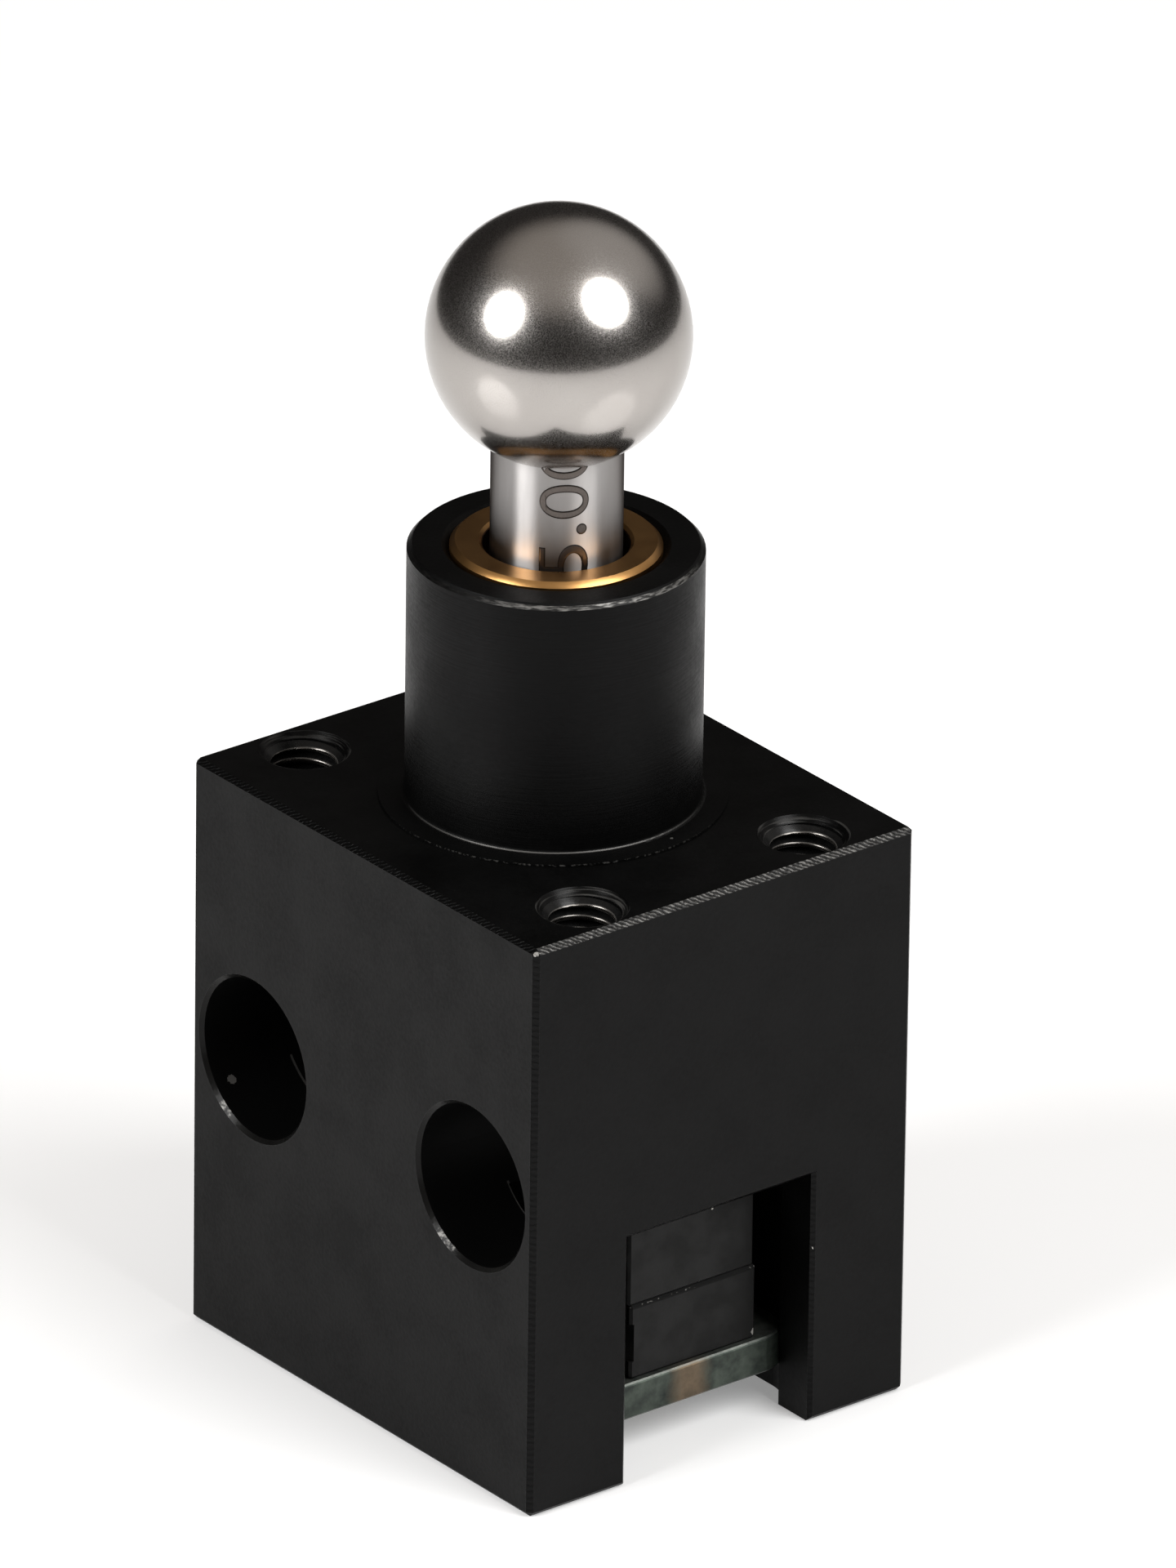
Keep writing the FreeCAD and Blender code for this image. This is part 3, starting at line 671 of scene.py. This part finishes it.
def mark_pin():
    """The pin's size, lasered on its shank."""
    glyphs = [engrave(*row) for row in MARK]
    bpy.ops.object.select_all(action="DESELECT")
    for glyph in glyphs:
        glyph.select_set(True)
    bpy.context.view_layer.objects.active = glyphs[0]
    bpy.ops.object.join()
    mark = bpy.context.object
    skin = mark.modifiers.new("skin", "SOLIDIFY")
    skin.thickness = MARK_SINK * MM
    skin.offset = -1.0
    bpy.ops.object.modifier_apply(modifier="skin")
    ball_foot = BALL_CENTRE - math.sqrt(BALL_RADIUS ** 2 - PIN_RADIUS ** 2)
    bpy.ops.object.mode_set(mode="EDIT")
    bpy.ops.mesh.select_all(action="SELECT")
    bpy.ops.mesh.bisect(plane_co=(0, 0, ball_foot * MM), plane_no=(0, 0, 1),
                        clear_outer=True, use_fill=True)
    bpy.ops.object.mode_set(mode="OBJECT")
    finish_piece(mark, "size_mark", "pin", laser_mark())


# Studio

# The camera: where it stands round the object, its roll, how far off it is, its lens, what it
# looks at, and how far it sees
CAMERA_TURN = math.radians(231.63)
CAMERA_RISE = math.radians(25.41)
CAMERA_ROLL = math.radians(0.76)
CAMERA_RANGE = 854.6
CAMERA_LENS = 522.9
CAMERA_AIM = Vector((1.022, -0.809, 23.94))
CAMERA_REACH = 10000.0


def place_camera():
    """A long lens, with the turn, rise and roll that were fitted to the photograph's edges."""
    back = Vector((math.cos(CAMERA_TURN) * math.cos(CAMERA_RISE),
                   math.sin(CAMERA_TURN) * math.cos(CAMERA_RISE), math.sin(CAMERA_RISE)))
    right = Vector((0, 0, 1)).cross(back).normalized()
    up = back.cross(right)
    across = right * math.cos(CAMERA_ROLL) + up * math.sin(CAMERA_ROLL)
    upright = up * math.cos(CAMERA_ROLL) - right * math.sin(CAMERA_ROLL)
    bpy.ops.object.camera_add()
    camera = bpy.context.object
    turned = Matrix((across, upright, back)).transposed().to_4x4()
    camera.matrix_world = Matrix.Translation((CAMERA_AIM + back * CAMERA_RANGE) * MM) @ turned
    camera.data.lens = CAMERA_LENS
    camera.data.clip_end = CAMERA_REACH * MM
    bpy.context.scene.camera = camera


# The soft boxes: each with the direction in which the ball shows it, and its width
LAMPS = [
    ("left_soft_box", (-0.861, 0.098, 0.499), 285.0),
    ("right_soft_box", (0.24, -0.702, 0.671), 330.0),
]
LAMP_RANGE = 450.0
LAMP_POWER = 2.0

# The direction of the paler wall
WALL_TOWARDS = (0.707, 0.0, 0.707)


def hang_lamp(name, towards, diameter):
    """A round soft box, aimed at the ball."""
    target = Vector((0, 0, BALL_CENTRE * MM))
    direction = Vector(towards).normalized()
    bpy.ops.object.light_add(type="AREA", location=target + direction * LAMP_RANGE * MM)
    lamp = bpy.context.object
    lamp.name = name
    lamp.rotation_euler = direction.to_track_quat("Z", "Y").to_euler()
    lamp.data.shape = "DISK"
    lamp.data.size = diameter * MM
    lamp.data.energy = LAMP_POWER


def light_studio():
    """Two soft boxes in a dark room with a paler ceiling and, on the right, a paler wall."""
    for row in LAMPS:
        hang_lamp(*row)
    world = bpy.data.worlds.new("studio")
    world.use_nodes = True
    tree = world.node_tree
    tree.nodes.clear()
    direction = add(tree, "TexCoord").outputs["Generated"]
    up = add(tree, "SeparateXYZ", [direction]).outputs["Z"]
    overhead = add(tree, "MapRange", {
        "Value": up, "From Min": 0.48, "From Max": 0.9}, interpolation_type="SMOOTHSTEP")
    towards_wall = add(tree, "VectorMath", [direction, WALL_TOWARDS], operation="DOT_PRODUCT")
    beside = add(tree, "MapRange", {
        "Value": towards_wall, "From Min": 0.75, "From Max": 0.98}, interpolation_type="SMOOTHSTEP")
    room = add(tree, "Mix", [overhead, colour("#2C2A29"), colour("#AFA9A3")], data_type="RGBA")
    room = add(tree, "Mix", [beside, room, colour("#C6C2BE")], data_type="RGBA")
    background = add(tree, "Background", [room])
    add(tree, "OutputWorld", [background])
    bpy.context.scene.world = world


# The white sheet and how far its look is lifted to white, the table, and the gap that keeps the
# floor clear of the object's foot
SHEET_MIDDLE = (10.0, -14.0, 0.0)
SHEET_RADIUS = 275.0
SHEET_BLUR = 35.0
SHEET_LIFT = 0.25
TABLE_WIDTH = 4000.0
FLOOR_GAP = 0.02


def lay_floor():
    """A round white sheet on a grey table. The sheet is lifted to white for the camera and for
    what metal mirrors, and keeps the object's shadow."""
    bpy.ops.object.select_all(action="DESELECT")
    bpy.ops.mesh.primitive_plane_add(size=TABLE_WIDTH * MM, location=(0, 0, -FLOOR_GAP * MM))
    floor = bpy.context.object
    floor.name = "floor"
    material, tree, place = new_material("white_sheet")
    distance = add(tree, "VectorMath", [place, SHEET_MIDDLE], operation="DISTANCE")
    sheet = add(tree, "MapRange", {
        "Value": distance, "From Min": SHEET_RADIUS + SHEET_BLUR,
        "From Max": SHEET_RADIUS - SHEET_BLUR}, interpolation_type="SMOOTHSTEP")
    ray = add(tree, "LightPath").outputs
    mirrored = add(tree, "Math", [ray["Is Glossy Ray"], ray["Is Transmission Ray"]],
                   operation="ADD")
    seen = add(tree, "Math", [ray["Is Camera Ray"], mirrored], operation="ADD")
    lift = both(tree, both(tree, sheet, seen), SHEET_LIFT)
    base = add(tree, "Mix", [sheet, colour("#5A5856"), colour("#F2F2F2")], data_type="RGBA")
    shader = add(tree, "BsdfPrincipled", {
        "Base Color": base, "Roughness": 0.15, "Emission Color": colour("#FFFFFF"),
        "Emission Strength": lift})
    show(tree, shader)
    paint(floor, material)


tap_holes()
mark_pin()
FINISHES = {
    "block": black_anodised(),
    "guide_bush": turned_bronze(),
    "gauge_pin": ground_steel(),
    "head_ball": polished_steel(),
    "keeper_plate": zinc_plate(),
    "magnet_lower": magnet_coat(),
    "magnet_upper": magnet_coat(),
}
for node_name, finish in FINISHES.items():
    paint(frame["nodes"][node_name], finish)
place_camera()
light_studio()
lay_floor()
bpy.context.scene.view_settings.view_transform = "Standard"
